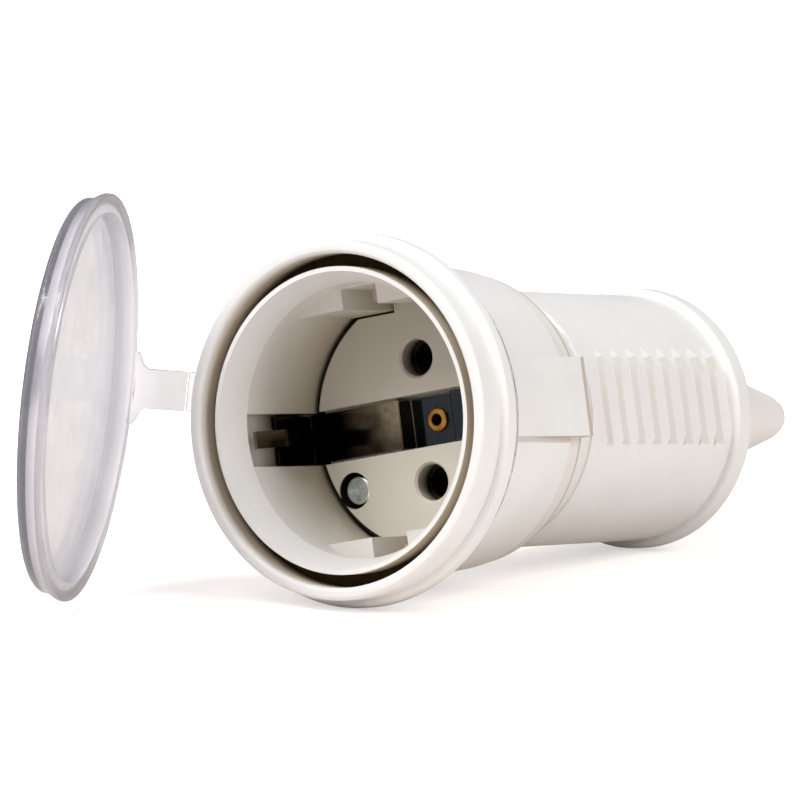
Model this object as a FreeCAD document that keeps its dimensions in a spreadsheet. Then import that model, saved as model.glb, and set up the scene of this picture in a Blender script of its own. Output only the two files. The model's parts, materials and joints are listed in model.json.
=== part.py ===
import FreeCAD, Part
import math
import os

import Sketcher
from FreeCAD import Placement, Rotation, Vector

os.makedirs("parts", exist_ok=True)
doc = FreeCAD.newDocument("inline_socket_connector")
sheet = doc.addObject("Spreadsheet::Sheet", "Sizes")


class Size:
    """A size of the sheet, or a sum made of such sizes: its expression and its value."""

    def __init__(self, text, value):
        self.text = text
        self.value = value

    def __add__(self, other):
        return Size(f"({self.text} + {text_of(other)})", self.value + value_of(other))

    def __sub__(self, other):
        return Size(f"({self.text} - {text_of(other)})", self.value - value_of(other))

    def __mul__(self, other):
        return Size(f"({self.text} * {text_of(other)})", self.value * value_of(other))

    def __truediv__(self, other):
        return Size(f"({self.text} / {text_of(other)})", self.value / value_of(other))

    def __neg__(self):
        return Size(f"(-1 * {self.text})", -self.value)


def text_of(size):
    return size.text if isinstance(size, Size) else str(size)


def value_of(size):
    return size.value if isinstance(size, Size) else size


def root_of(size):
    return Size(f"sqrt({size.text})", math.sqrt(size.value))


def size(alias, value):
    """Write one driving dimension into the sheet (mm or degrees)."""
    size.row += 1
    sheet.set(f"A{size.row}", alias)
    sheet.set(f"B{size.row}", str(value))
    sheet.setAlias(f"B{size.row}", alias)
    return Size(f"Sizes.{alias}", value)


size.row = 0

# Socket head: recess, well, lip, flange and barrel
recess_radius = size("recess_radius", 20.6)
well_wall = size("well_wall", 2.3)
well_edge = size("well_edge", 0.7)
well_setback = size("well_setback", 1.5)
moat_width = size("moat_width", 1.9)
moat_depth = size("moat_depth", 5.8)
lead_depth = size("lead_depth", 6.5)
lip_wall = size("lip_wall", 1.9)
lip_length = size("lip_length", 4.6)
lip_round = size("lip_round", 0.7)
flange_rise = size("flange_rise", 1.2)
flange_width = size("flange_width", 3.0)
flange_round = size("flange_round", 0.8)
seat_drop = size("seat_drop", 0.4)
seat_width = size("seat_width", 2.8)
barrel_front_wall = size("barrel_front_wall", 4.0)
barrel_rear_wall = size("barrel_rear_wall", 1.7)
barrel_round = size("barrel_round", 0.6)
barrel_end_length = size("barrel_end_length", 4.2)
barrel_end_drop = size("barrel_end_drop", 0.6)
face_depth = size("face_depth", 23.5)
carrier_depth = size("carrier_depth", 8.0)
web_width = size("web_width", 2.0)
web_overlap = size("web_overlap", 2.2)
key_width = size("key_width", 6.4)
key_height = size("key_height", 3.4)
key_front = size("key_front", 10.6)
key_slot_depth = size("key_slot_depth", 3.1)
key_slot_length = size("key_slot_length", 8.2)
key_tongue = size("key_tongue", 1.3)
notch_width = size("notch_width", 8.1)
notch_depth = size("notch_depth", 1.7)
pad_width = size("pad_width", 12.0)
pad_rise = size("pad_rise", 2.8)
pad_length = size("pad_length", 20.5)
pad_depth = size("pad_depth", 2.4)

# Contact carrier and the pieces on it
carrier_gap = size("carrier_gap", 0.6)
carrier_bevel = size("carrier_bevel", 0.3)
key_gap = size("key_gap", 0.35)
slot_width = size("slot_width", 8.2)
slot_shelf_depth = size("slot_shelf_depth", 1.5)
slot_floor_depth = size("slot_floor_depth", 4.7)
strip_width = size("strip_width", 7.4)
strip_thickness = size("strip_thickness", 0.8)
strip_step = size("strip_step", 5.5)
strip_gap = size("strip_gap", 0.15)
strip_bend = size("strip_bend", 0.3)
clip_width = size("clip_width", 2.6)
clip_root_inset = size("clip_root_inset", 0.3)
clip_nose_inset = size("clip_nose_inset", 2.5)
clip_tip_outset = size("clip_tip_outset", 0.3)
clip_back_gap = size("clip_back_gap", 0.15)
clip_back_front = size("clip_back_front", 15.0)
clip_bend = size("clip_bend", 18.6)
clip_nose = size("clip_nose", 13.0)
clip_tip = size("clip_tip", 8.0)
rivet_radius = size("rivet_radius", 1.3)
rivet_head_radius = size("rivet_head_radius", 1.85)
rivet_head_height = size("rivet_head_height", 0.5)
rivet_hole_radius = size("rivet_hole_radius", 0.95)
rivet_grip = size("rivet_grip", 2.0)
rivet_gap = size("rivet_gap", 0.05)
pin_spacing = size("pin_spacing", 19.0)
pin_hole_radius = size("pin_hole_radius", 2.8)
pin_hole_bevel = size("pin_hole_bevel", 0.35)
pin_hole_depth = size("pin_hole_depth", 3.0)
sleeve_radius = size("sleeve_radius", 3.6)
sleeve_bore = size("sleeve_bore", 2.45)
sleeve_gap = size("sleeve_gap", 0.15)
sleeve_reach = size("sleeve_reach", 4.6)
block_gap = size("block_gap", 0.1)
block_width = size("block_width", 8.0)
block_height = size("block_height", 7.0)
block_length = size("block_length", 15.4)
pin_travel = size("pin_travel", 11.9)
wire_hole_radius = size("wire_hole_radius", 1.7)
earth_block_height = size("earth_block_height", 5.8)
earth_block_length = size("earth_block_length", 11.4)
terminal_screw_inset = size("terminal_screw_inset", 1.9)
terminal_screw_radius = size("terminal_screw_radius", 1.4)
terminal_head_radius = size("terminal_head_radius", 2.3)
terminal_head_height = size("terminal_head_height", 1.6)
terminal_screw_length = size("terminal_screw_length", 3.0)
thread_gap = size("thread_gap", 0.05)
drive_slot_width = size("drive_slot_width", 0.7)
drive_slot_depth = size("drive_slot_depth", 0.8)

# Face screws and their threaded sleeves; across is counted in from the recess's wall
screw_across = size("screw_across", 6.3)
screw_up = size("screw_up", 8.75)
screw_sink = size("screw_sink", 0.9)
screw_head_radius = size("screw_head_radius", 2.45)
screw_head_height = size("screw_head_height", 2.0)
screw_head_gap = size("screw_head_gap", 0.35)
screw_head_round = size("screw_head_round", 0.6)
screw_radius = size("screw_radius", 1.5)
screw_hole_gap = size("screw_hole_gap", 0.2)
screw_length = size("screw_length", 20.5)
cross_length = size("cross_length", 3.2)
cross_width = size("cross_width", 0.75)
cross_depth = size("cross_depth", 1.3)
insert_radius = size("insert_radius", 2.1)
insert_length = size("insert_length", 12.0)
insert_setback = size("insert_setback", 1.5)
boss_radius = size("boss_radius", 2.9)
boss_length = size("boss_length", 20.0)
boss_gap = size("boss_gap", 0.3)
boss_web = size("boss_web", 2.4)

# Grip shell
shell_gap = size("shell_gap", 0.1)
flare_step = size("flare_step", 1.0)
flare_length = size("flare_length", 6.3)
line_depth = size("line_depth", 0.4)
line_width = size("line_width", 0.5)
grip_front_radius = size("grip_front_radius", 19.8)
grip_rear_radius = size("grip_rear_radius", 19.3)
grip_wall = size("grip_wall", 2.2)
grip_length = size("grip_length", 40.5)
bead_rise = size("bead_rise", 1.2)
bead_width = size("bead_width", 3.6)
bead_round = size("bead_round", 1.3)
dome_radius = size("dome_radius", 11.6)
dome_shoulder = size("dome_shoulder", 4.1)
dome_length = size("dome_length", 9.9)
rear_wall = size("rear_wall", 3.0)
side_flat = size("side_flat", 0.55)
side_flat_start = size("side_flat_start", 1.6)
rib_start = size("rib_start", 5.4)
rib_pitch = size("rib_pitch", 4.5)
rib_width = size("rib_width", 2.4)
rib_rise = size("rib_rise", 0.45)
rib_height = size("rib_height", 17.0)
rib_end = size("rib_end", 1.6)
rib_slope = size("rib_slope", 28.0)

# Cord grip and grommet
arm_offset = size("arm_offset", 10.5)
arm_thickness = size("arm_thickness", 2.5)
arm_width = size("arm_width", 9.6)
arm_length = size("arm_length", 34.5)
saddle_split = size("saddle_split", 1.2)
saddle_gap = size("saddle_gap", 0.2)
saddle_width = size("saddle_width", 21.0)
saddle_length = size("saddle_length", 8.0)
saddle_cover = size("saddle_cover", 2.0)
cord_radius = size("cord_radius", 4.4)
clamp_screw_spacing = size("clamp_screw_spacing", 15.6)
clamp_screw_radius = size("clamp_screw_radius", 1.4)
clamp_head_radius = size("clamp_head_radius", 2.5)
clamp_head_height = size("clamp_head_height", 1.8)
clamp_screw_length = size("clamp_screw_length", 14.5)
nut_width = size("nut_width", 5.0)
nut_height = size("nut_height", 2.4)
nut_depth = size("nut_depth", 4.6)
gland_hole_radius = size("gland_hole_radius", 7.6)
neck_gap = size("neck_gap", 0.2)
collar_gap = size("collar_gap", 0.1)
inner_flange_radius = size("inner_flange_radius", 10.4)
inner_flange_width = size("inner_flange_width", 2.4)
collar_radius = size("collar_radius", 9.6)
collar_width = size("collar_width", 1.6)
taper_length = size("taper_length", 25.2)
taper_end_radius = size("taper_end_radius", 3.7)
tip_length = size("tip_length", 1.8)
tip_radius = size("tip_radius", 3.0)
tip_bore_radius = size("tip_bore_radius", 2.4)
tip_bore_length = size("tip_bore_length", 12.0)

# Tether ring, strap and cap
ring_gap = size("ring_gap", 0.15)
ring_clearance = size("ring_clearance", 0.25)
ring_wall = size("ring_wall", 1.9)
ring_width = size("ring_width", 2.2)
strap_width = size("strap_width", 6.0)
strap_thickness = size("strap_thickness", 1.4)
strap_foot_width = size("strap_foot_width", 11.0)
strap_foot_length = size("strap_foot_length", 1.5)
strap_tip_thickness = size("strap_tip_thickness", 0.7)
strap_tip_length = size("strap_tip_length", 1.2)
stub_thickness = size("stub_thickness", 1.2)
hinge_offset = size("hinge_offset", 3.8)
hinge_setback = size("hinge_setback", 1.3)
hinge_radius = size("hinge_radius", 0.9)
hinge_gap = size("hinge_gap", 0.3)
cap_clearance = size("cap_clearance", 0.8)
cap_lift = size("cap_lift", 0.35)
cap_plate = size("cap_plate", 1.25)
cap_wall = size("cap_wall", 1.9)
cap_round = size("cap_round", 0.9)
rim_rise = size("rim_rise", 0.9)
rim_width = size("rim_width", 0.9)
rim_slope = size("rim_slope", 1.6)
rim_round = size("rim_round", 0.35)
rim_gap = size("rim_gap", 2.2)

# Lie of the loose connector
connector_roll = size("connector_roll", 12.6)
tether_roll = size("tether_roll", -3.2)
cap_opening = size("cap_opening", 65.0)

doc.recompute()

# Stations along the axis, from the mouth to the back
flange_back = lip_length + flange_width
carrier_back = face_depth + carrier_depth
housing_back = carrier_back + web_width
grip_front = housing_back + shell_gap
sleeve_front = grip_front + flare_length
bead_front = sleeve_front + grip_length
bead_back = bead_front + bead_width
grip_back = bead_back + dome_length
gland_inside = grip_back - rear_wall

# Radii outwards from the recess
well_radius = recess_radius + well_wall
lip_inside = well_radius + moat_width
lip_radius = lip_inside + lip_wall
flange_radius = lip_radius + flange_rise
barrel_front = recess_radius + barrel_front_wall
barrel_rear = recess_radius + barrel_rear_wall
seat_radius = barrel_front - seat_drop
web_bore = recess_radius - web_overlap
pad_flat = recess_radius + pad_rise
grip_bore = grip_front_radius - grip_wall
grip_rear_bore = grip_rear_radius - grip_wall
bead_radius = grip_rear_radius + bead_rise


def new_body(label):
    body = doc.addObject("PartDesign::Body", label)
    body.Label = label
    body.AllowCompound = True
    return body


def plane_of(body, role):
    return next(item for item in body.Origin.OriginFeatures if item.Role == role)


def draw(body, name, role, loops=(), circles=(), offset=None):
    """Sketch closed loops of corners and circles; every coordinate follows the sheet."""
    sketch = body.newObject("Sketcher::SketchObject", name)
    sketch.AttachmentSupport = [(plane_of(body, role), "")]
    sketch.MapMode = "FlatFace"
    if offset is not None:
        sketch.setExpression("AttachmentOffset.Base.z", text_of(offset))
    for corners in loops:
        first = sketch.GeometryCount
        points = [Vector(value_of(x), value_of(y), 0) for x, y in corners]
        count = len(points)
        for index in range(count):
            sketch.addGeometry(Part.LineSegment(points[index], points[(index + 1) % count]), False)
        for index in range(count):
            following = first + (index + 1) % count
            sketch.addConstraint(Sketcher.Constraint("Coincident", first + index, 2, following, 1))
        for index, (x, y) in enumerate(corners):
            pin_point(sketch, first + index, 1, x, y)
    for x, y, radius in circles:
        centre = Vector(value_of(x), value_of(y), 0)
        round_line = Part.Circle(centre, Vector(0, 0, 1), value_of(radius))
        index = sketch.addGeometry(round_line, False)
        pin_point(sketch, index, 3, x, y)
        datum = sketch.addConstraint(Sketcher.Constraint("Radius", index, value_of(radius)))
        sketch.setExpression(f"Constraints[{datum}]", text_of(radius))
    return sketch


def pin_point(sketch, geometry, point, x, y):
    """Tie one point to its two coordinates; a plain zero puts it on the axis."""
    for kind, coordinate, axis in (("DistanceX", x, -2), ("DistanceY", y, -1)):
        if not isinstance(coordinate, Size):
            sketch.addConstraint(Sketcher.Constraint("PointOnObject", geometry, point, axis))
            continue
        datum = sketch.addConstraint(
            Sketcher.Constraint(kind, -1, 1, geometry, point, coordinate.value)
        )
        sketch.setExpression(f"Constraints[{datum}]", coordinate.text)


def turn(body, name, corners, cut=False):
    """Turn a profile of (radius, station) corners about the connector's axis, as solid or as cut."""
    sketch = draw(body, name + "_profile", "XY_Plane", [corners])
    feature = body.newObject("PartDesign::Groove" if cut else "PartDesign::Revolution", name)
    feature.Profile = sketch
    feature.ReferenceAxis = (sketch, ["V_Axis"])
    feature.Angle = 360
    doc.recompute()
    return feature


NORMAL_SIGN = {"XY_Plane": 1, "YZ_Plane": 1, "XZ_Plane": -1}


def raise_from(body, name, role, start, end, loops=(), circles=(), cut=False):
    """Pad or pocket a sketch from start to end along the axis that the plane stands across."""
    sign = NORMAL_SIGN[role]
    offset = start if sign > 0 else -start
    sketch = draw(body, name + "_outline", role, loops, circles, offset)
    before = body.Shape.Volume if body.Tip else 0
    feature = body.newObject("PartDesign::Pocket" if cut else "PartDesign::Pad", name)
    feature.Profile = sketch
    feature.setExpression("Length", (end - start).text)
    feature.Reversed = (sign > 0) == cut
    doc.recompute()
    after = body.Shape.Volume
    if (after >= before) if cut else (after <= before):
        raise ValueError(f"{body.Label}: {name} changes nothing")
    return feature


def box_loop(low_x, high_x, low_y, high_y):
    return [(low_x, low_y), (high_x, low_y), (high_x, high_y), (low_x, high_y)]


def both_sides(loop):
    """A loop and its mirror image across the second axis."""
    return [loop, [(-x if isinstance(x, Size) else x, y) for x, y in reversed(loop)]]


def above_and_below(loop):
    """A loop and its mirror image across the first axis."""
    return [loop, [(x, -y if isinstance(y, Size) else y) for x, y in reversed(loop)]]


def cross_loop(x, y, length, width):
    """The outline of a cross recess about one point."""
    far = length / 2
    near = width / 2
    return [
        (x - far, y - near), (x - near, y - near), (x - near, y - far), (x + near, y - far),
        (x + near, y - near), (x + far, y - near), (x + far, y + near), (x + near, y + near),
        (x + near, y + far), (x - near, y + far), (x - near, y + near), (x - far, y + near),
    ]


def round_edges(shape, rings, places=((0, 0),)):
    """Names of the round edges with the given (radius, station) pairs about the given places."""
    names = []
    for index, edge in enumerate(shape.Edges, start=1):
        if not isinstance(edge.Curve, Part.Circle):
            continue
        for radius, station in rings:
            for x, z in places:
                middle = Vector(value_of(x), station.value, value_of(z))
                same_place = edge.Curve.Center.distanceToPoint(middle) < 0.01
                if same_place and abs(edge.Curve.Radius - radius.value) < 0.01:
                    names.append(f"Edge{index}")
    return names


def upright_edges(shape, height):
    """Names of the straight edges of this length that run along the third axis."""
    names = []
    for index, edge in enumerate(shape.Edges, start=1):
        box = edge.BoundBox
        if abs(box.ZLength - height.value) < 0.01 and box.XLength + box.YLength < 0.01:
            names.append(f"Edge{index}")
    return names


def dress(body, name, edges, amount, kind="Fillet"):
    """Round or bevel the named edges of the body as it stands."""
    base = body.Tip
    feature = body.newObject(f"PartDesign::{kind}", name)
    feature.Base = (base, edges)
    feature.setExpression("Radius" if kind == "Fillet" else "Size", amount.text)
    doc.recompute()
    return feature


def soften(body, name, rings, amount, kind="Fillet", places=((0, 0),)):
    """Round or bevel the round edges with the given (radius, station) pairs."""
    return dress(body, name, round_edges(body.Tip.Shape, rings, places), amount, kind)


# Front housing: one moulding with lip, moat, well, flange, barrel and an inner web at its back
front_housing = new_body("front_housing")
turn(front_housing, "head", [
    (web_bore, carrier_back),
    (web_bore, housing_back),
    (barrel_rear, housing_back),
    (barrel_rear, housing_back - barrel_end_length),
    (barrel_rear + barrel_end_drop, housing_back - barrel_end_length),
    (barrel_front, flange_back + seat_width),
    (seat_radius, flange_back + seat_width),
    (seat_radius, flange_back),
    (flange_radius, flange_back),
    (flange_radius, lip_length),
    (lip_radius, lip_length),
    (lip_radius, 0),
    (lip_inside, 0),
    (lip_inside, moat_depth),
    (well_radius, moat_depth),
    (well_radius, well_setback),
    (well_radius - well_edge, well_setback),
    (recess_radius, lead_depth),
    (recess_radius, carrier_back),
])
zero_station = Size("0", 0.0)
soften(front_housing, "lip_edges", [(lip_radius, zero_station), (lip_inside, zero_station)], lip_round)
soften(front_housing, "flange_edges", [(flange_radius, lip_length), (flange_radius, flange_back)],
       flange_round)
soften(front_housing, "barrel_edge", [(barrel_rear, housing_back)], barrel_round)

# Side pads bulge over the earth notches and end flush with the barrel
raise_from(front_housing, "side_pads", "XY_Plane", -pad_width / 2, pad_width / 2, both_sides(
    box_loop(pad_flat - pad_depth, pad_flat, housing_back - pad_length, housing_back)))

# Key flats above and below, each with a keyway that is deep in front and shallow behind
key_flat = recess_radius - key_height
key_root = recess_radius + barrel_rear_wall / 2
key_reach = root_of(key_root * key_root - key_flat * key_flat)
shoulder_up = (key_root + key_flat) / 2 + barrel_rear_wall / 2
shoulder_reach = root_of(key_root * key_root - shoulder_up * shoulder_up)
key_back = carrier_back + web_width / 2
raise_from(front_housing, "key_flats", "XZ_Plane", key_front, key_back, above_and_below([
    (-key_reach, key_flat), (key_reach, key_flat), (shoulder_reach, shoulder_up),
    (zero_station, key_root), (-shoulder_reach, shoulder_up),
]))
keyway_end = key_front + key_slot_length
raise_from(front_housing, "keyways", "YZ_Plane", -key_width / 2, key_width / 2, above_and_below([
    (key_front, key_flat - key_gap), (carrier_back, key_flat - key_gap),
    (carrier_back, key_flat + key_tongue), (keyway_end, key_flat + key_tongue),
    (keyway_end, key_flat + key_slot_depth),
    (key_front, key_flat + key_slot_depth),
]), cut=True)
raise_from(front_housing, "earth_notches", "XY_Plane", -notch_width / 2, notch_width / 2, both_sides(
    box_loop(web_bore, recess_radius + notch_depth, lead_depth, carrier_back)), cut=True)
screw_side = recess_radius - screw_across
screw_places = [(-screw_side, -screw_up), (screw_side, screw_up)]
raise_from(front_housing, "boss_notches", "XZ_Plane", carrier_back, housing_back,
           circles=[(x, z, boss_radius + boss_gap) for x, z in screw_places], cut=True)

# Contact carrier: face disc with the pockets in it and the cord rest on an arm behind it
contact_carrier = new_body("contact_carrier")
carrier_radius = recess_radius - carrier_gap
turn(contact_carrier, "disc", [
    (zero_station, face_depth), (carrier_radius, face_depth),
    (carrier_radius, carrier_back), (zero_station, carrier_back),
])
soften(contact_carrier, "disc_edge", [(carrier_radius, face_depth)], carrier_bevel, "Chamfer")
tongue_side = key_width / 2 - key_gap
carrier_flat = key_flat - key_gap
tongue_top = key_flat + key_tongue - key_gap
raise_from(contact_carrier, "key_flats", "XZ_Plane", face_depth - carrier_bevel, carrier_back + carrier_bevel,
           above_and_below([
               (-recess_radius, carrier_flat), (-tongue_side, carrier_flat), (-tongue_side, tongue_top),
               (tongue_side, tongue_top), (tongue_side, carrier_flat), (recess_radius, carrier_flat),
               (recess_radius, recess_radius), (-recess_radius, recess_radius),
           ]), cut=True)
slot_front = face_depth - carrier_bevel
slot_shelf = face_depth + slot_shelf_depth
slot_floor = face_depth + slot_floor_depth
slot_step = strip_step + strip_gap
raise_from(contact_carrier, "earth_slot", "XY_Plane", -slot_width / 2, slot_width / 2, [[
    (-recess_radius, slot_front), (recess_radius, slot_front), (recess_radius, slot_shelf),
    (slot_step, slot_shelf), (slot_step, slot_floor), (-slot_step, slot_floor),
    (-slot_step, slot_shelf), (-recess_radius, slot_shelf),
]], cut=True)
pin_places = [(zero_station, pin_spacing / 2), (zero_station, -pin_spacing / 2)]
raise_from(contact_carrier, "pin_holes", "XZ_Plane", face_depth, carrier_back,
           circles=[(x, z, pin_hole_radius) for x, z in pin_places], cut=True)
raise_from(contact_carrier, "contact_pockets", "XZ_Plane", face_depth + pin_hole_depth, carrier_back,
           circles=[(x, z, sleeve_radius + sleeve_gap) for x, z in pin_places], cut=True)
raise_from(contact_carrier, "screw_holes", "XZ_Plane", face_depth, carrier_back,
           circles=[(x, z, screw_radius + screw_hole_gap) for x, z in screw_places], cut=True)
head_seat = face_depth + screw_sink + screw_head_height
raise_from(contact_carrier, "head_sinks", "XZ_Plane", face_depth, head_seat,
           circles=[(x, z, screw_head_radius + screw_head_gap) for x, z in screw_places], cut=True)
raise_from(contact_carrier, "rivet_hole", "XZ_Plane", slot_floor, carrier_back,
           circles=[(zero_station, zero_station, rivet_radius + rivet_gap)], cut=True)
soften(contact_carrier, "pin_hole_bevels", [(pin_hole_radius, face_depth)], pin_hole_bevel, "Chamfer",
       pin_places)

arm_back = carrier_back + arm_length
rest_front = arm_back - saddle_length
arm_outside = arm_offset + arm_thickness
raise_from(contact_carrier, "arm", "XY_Plane", -arm_width / 2, arm_width / 2, [
    box_loop(-arm_outside, -arm_offset, carrier_back - web_width, arm_back)])
raise_from(contact_carrier, "cord_rest", "XY_Plane", -saddle_width / 2, saddle_width / 2, [
    box_loop(-arm_outside, -saddle_split, rest_front, arm_back)])
raise_from(contact_carrier, "cord_trough", "XZ_Plane", rest_front, arm_back,
           circles=[(zero_station, zero_station, cord_radius)], cut=True)
clamp_station = arm_back - saddle_length / 2
clamp_places = [(clamp_station, clamp_screw_spacing / 2), (clamp_station, -clamp_screw_spacing / 2)]
raise_from(contact_carrier, "clamp_holes", "YZ_Plane", -arm_outside, -saddle_split,
           circles=[(y, z, clamp_screw_radius + screw_hole_gap) for y, z in clamp_places], cut=True)
nut_half = nut_width / 2
nut_seat = -arm_outside + nut_depth
raise_from(contact_carrier, "nut_pockets", "YZ_Plane", -arm_outside, nut_seat, [
    box_loop(y - nut_half - saddle_gap, y + nut_half + saddle_gap,
             z - nut_half - saddle_gap, z + nut_half + saddle_gap) for y, z in clamp_places], cut=True)

# Earth strip: flat bottom, two upright steps, two shelves, back plates in the notches and sprung clips
earth_bracket = new_body("earth_bracket")
shelf_top = slot_shelf - strip_thickness
base_top = slot_floor - strip_thickness
step_inside = strip_step - strip_thickness
clip_root = recess_radius - clip_root_inset
back_outside = recess_radius + notch_depth - clip_back_gap
raise_from(earth_bracket, "strip", "XY_Plane", -strip_width / 2, strip_width / 2, [[
    (-back_outside, slot_shelf), (-back_outside, clip_back_front),
    (-back_outside + strip_thickness, clip_back_front), (-back_outside + strip_thickness, shelf_top),
    (-step_inside, shelf_top), (-step_inside, base_top), (step_inside, base_top), (step_inside, shelf_top),
    (back_outside - strip_thickness, shelf_top), (back_outside - strip_thickness, clip_back_front),
    (back_outside, clip_back_front), (back_outside, slot_shelf), (strip_step, slot_shelf),
    (strip_step, slot_floor), (-strip_step, slot_floor), (-strip_step, slot_shelf),
]])
dress(earth_bracket, "strip_bends", upright_edges(earth_bracket.Tip.Shape, strip_width), strip_bend)
clip_nose_x = recess_radius - clip_nose_inset
clip_tip_x = recess_radius + clip_tip_outset
raise_from(earth_bracket, "clips", "XY_Plane", -clip_width / 2, clip_width / 2, both_sides([
    (clip_root - strip_thickness, shelf_top),
    (clip_root - strip_thickness, clip_bend),
    (clip_nose_x, clip_nose + strip_thickness / 2),
    (clip_nose_x, clip_nose - strip_thickness / 2),
    (clip_tip_x - strip_thickness, clip_tip),
    (clip_tip_x, clip_tip + strip_thickness / 2),
    (clip_nose_x + strip_thickness, clip_nose - strip_thickness / 4),
    (clip_nose_x + strip_thickness, clip_nose + strip_thickness / 4),
    (clip_root, clip_bend - strip_thickness / 4),
    (clip_root, shelf_top),
]))
raise_from(earth_bracket, "rivet_place", "XZ_Plane", base_top, slot_floor,
           circles=[(zero_station, zero_station, rivet_radius + rivet_gap)], cut=True)

# Earth rivet: brass eyelet through strip, carrier and earth block
earth_rivet = new_body("earth_rivet")
block_front = carrier_back + block_gap
rivet_end = block_front + rivet_grip
turn(earth_rivet, "eyelet", [
    (rivet_hole_radius, base_top - rivet_head_height),
    (rivet_head_radius, base_top - rivet_head_height),
    (rivet_head_radius, base_top),
    (rivet_radius, base_top),
    (rivet_radius, rivet_end),
    (rivet_hole_radius, rivet_end),
])
soften(earth_rivet, "eyelet_edge", [(rivet_head_radius, base_top - rivet_head_height)],
       rivet_head_height * 0.6)

# Earth block: takes the rivet's end in front and the earth wire behind
earth_terminal = new_body("earth_terminal")
earth_back = block_front + earth_block_length
raise_from(earth_terminal, "block", "XZ_Plane", block_front, earth_back, [
    box_loop(-block_width / 2, block_width / 2, -earth_block_height / 2, earth_block_height / 2)])
raise_from(earth_terminal, "rivet_socket", "XZ_Plane", block_front, rivet_end + block_gap,
           circles=[(zero_station, zero_station, rivet_radius + rivet_gap)], cut=True)
raise_from(earth_terminal, "wire_hole", "XZ_Plane", earth_back - block_height, earth_back,
           circles=[(zero_station, zero_station, wire_hole_radius)], cut=True)
earth_screw_station = earth_back - terminal_head_radius
raise_from(earth_terminal, "screw_hole", "YZ_Plane", zero_station, block_width / 2,
           circles=[(earth_screw_station, zero_station, terminal_screw_radius + thread_gap)], cut=True)

# Pin contacts: a sleeve reaching into the carrier, a block with the pin's way and the wire hole
block_back = block_front + block_length
pole_screw_station = block_back - terminal_screw_inset
poles = {"line_contact": pin_spacing / 2, "neutral_contact": -pin_spacing / 2}
for label, up in poles.items():
    contact = new_body(label)
    raise_from(contact, "block", "XZ_Plane", block_front, block_back, [
        box_loop(-block_width / 2, block_width / 2, up - block_height / 2, up + block_height / 2)])
    raise_from(contact, "sleeve", "XZ_Plane", block_front - sleeve_reach, block_front,
               circles=[(zero_station, up, sleeve_radius)])
    raise_from(contact, "pin_way", "XZ_Plane", block_front - sleeve_reach, block_front + pin_travel,
               circles=[(zero_station, up, sleeve_bore)], cut=True)
    raise_from(contact, "wire_hole", "XZ_Plane", block_front + pin_travel, block_back,
               circles=[(zero_station, up, wire_hole_radius)], cut=True)
    raise_from(contact, "screw_hole", "YZ_Plane", zero_station, block_width / 2,
               circles=[(pole_screw_station, up, terminal_screw_radius + thread_gap)], cut=True)

# Terminal screws: one in the side of each block
terminal_screws = new_body("terminal_screws")
terminal_places = [(pole_screw_station, up) for up in poles.values()]
terminal_places.append((earth_screw_station, zero_station))
head_foot = block_width / 2 + thread_gap
head_top = head_foot + terminal_head_height
raise_from(terminal_screws, "heads", "YZ_Plane", head_foot, head_top,
           circles=[(y, z, terminal_head_radius) for y, z in terminal_places])
raise_from(terminal_screws, "shanks", "YZ_Plane", head_foot - terminal_screw_length, head_foot,
           circles=[(y, z, terminal_screw_radius) for y, z in terminal_places])
raise_from(terminal_screws, "drive_slots", "YZ_Plane", head_top - drive_slot_depth, head_top, [
    box_loop(y - terminal_head_radius * 1.2, y + terminal_head_radius * 1.2,
             z - drive_slot_width / 2, z + drive_slot_width / 2) for y, z in terminal_places], cut=True)

# Face screws: through the carrier into the threaded sleeves of the grip
insert_screws = new_body("insert_screws")
screw_top = face_depth + screw_sink
raise_from(insert_screws, "heads", "XZ_Plane", screw_top, head_seat,
           circles=[(x, z, screw_head_radius) for x, z in screw_places])
raise_from(insert_screws, "shanks", "XZ_Plane", head_seat, head_seat + screw_length,
           circles=[(x, z, screw_radius) for x, z in screw_places])
soften(insert_screws, "head_rounds", [(screw_head_radius, screw_top)], screw_head_round, places=screw_places)
raise_from(insert_screws, "crosses", "XZ_Plane", screw_top, screw_top + cross_depth, [
    cross_loop(x, z, cross_length, cross_width) for x, z in screw_places], cut=True)

screw_inserts = new_body("screw_inserts")
insert_front = grip_front + insert_setback
insert_back = insert_front + insert_length
raise_from(screw_inserts, "sleeves", "XZ_Plane", insert_front, insert_back,
           circles=[(x, z, insert_radius) for x, z in screw_places])
raise_from(screw_inserts, "threads", "XZ_Plane", insert_front, insert_back,
           circles=[(x, z, screw_radius + thread_gap) for x, z in screw_places], cut=True)

# Grip shell: flared front, plain sleeve, rear bead and a domed back with the gland hole
rear_grip = new_body("rear_grip")
flare_radius = barrel_rear - flare_step
shoulder_back = bead_back + dome_length - dome_shoulder
turn(rear_grip, "shell", [
    (zero_station, grip_front),
    (flare_radius, grip_front),
    (grip_front_radius - line_depth, sleeve_front - line_width),
    (grip_front_radius - line_depth, sleeve_front),
    (grip_front_radius, sleeve_front),
    (grip_rear_radius, bead_front),
    (bead_radius, bead_front),
    (bead_radius, bead_back),
    (bead_radius - dome_shoulder, shoulder_back),
    (dome_radius, grip_back),
    (zero_station, grip_back),
])
soften(rear_grip, "bead_edges", [(bead_radius, bead_back)], bead_round)
soften(rear_grip, "bead_front_edge", [(bead_radius, bead_front)], bead_rise * 0.6)
soften(rear_grip, "dome_edge", [(bead_radius - dome_shoulder, shoulder_back)], dome_shoulder)

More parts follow.
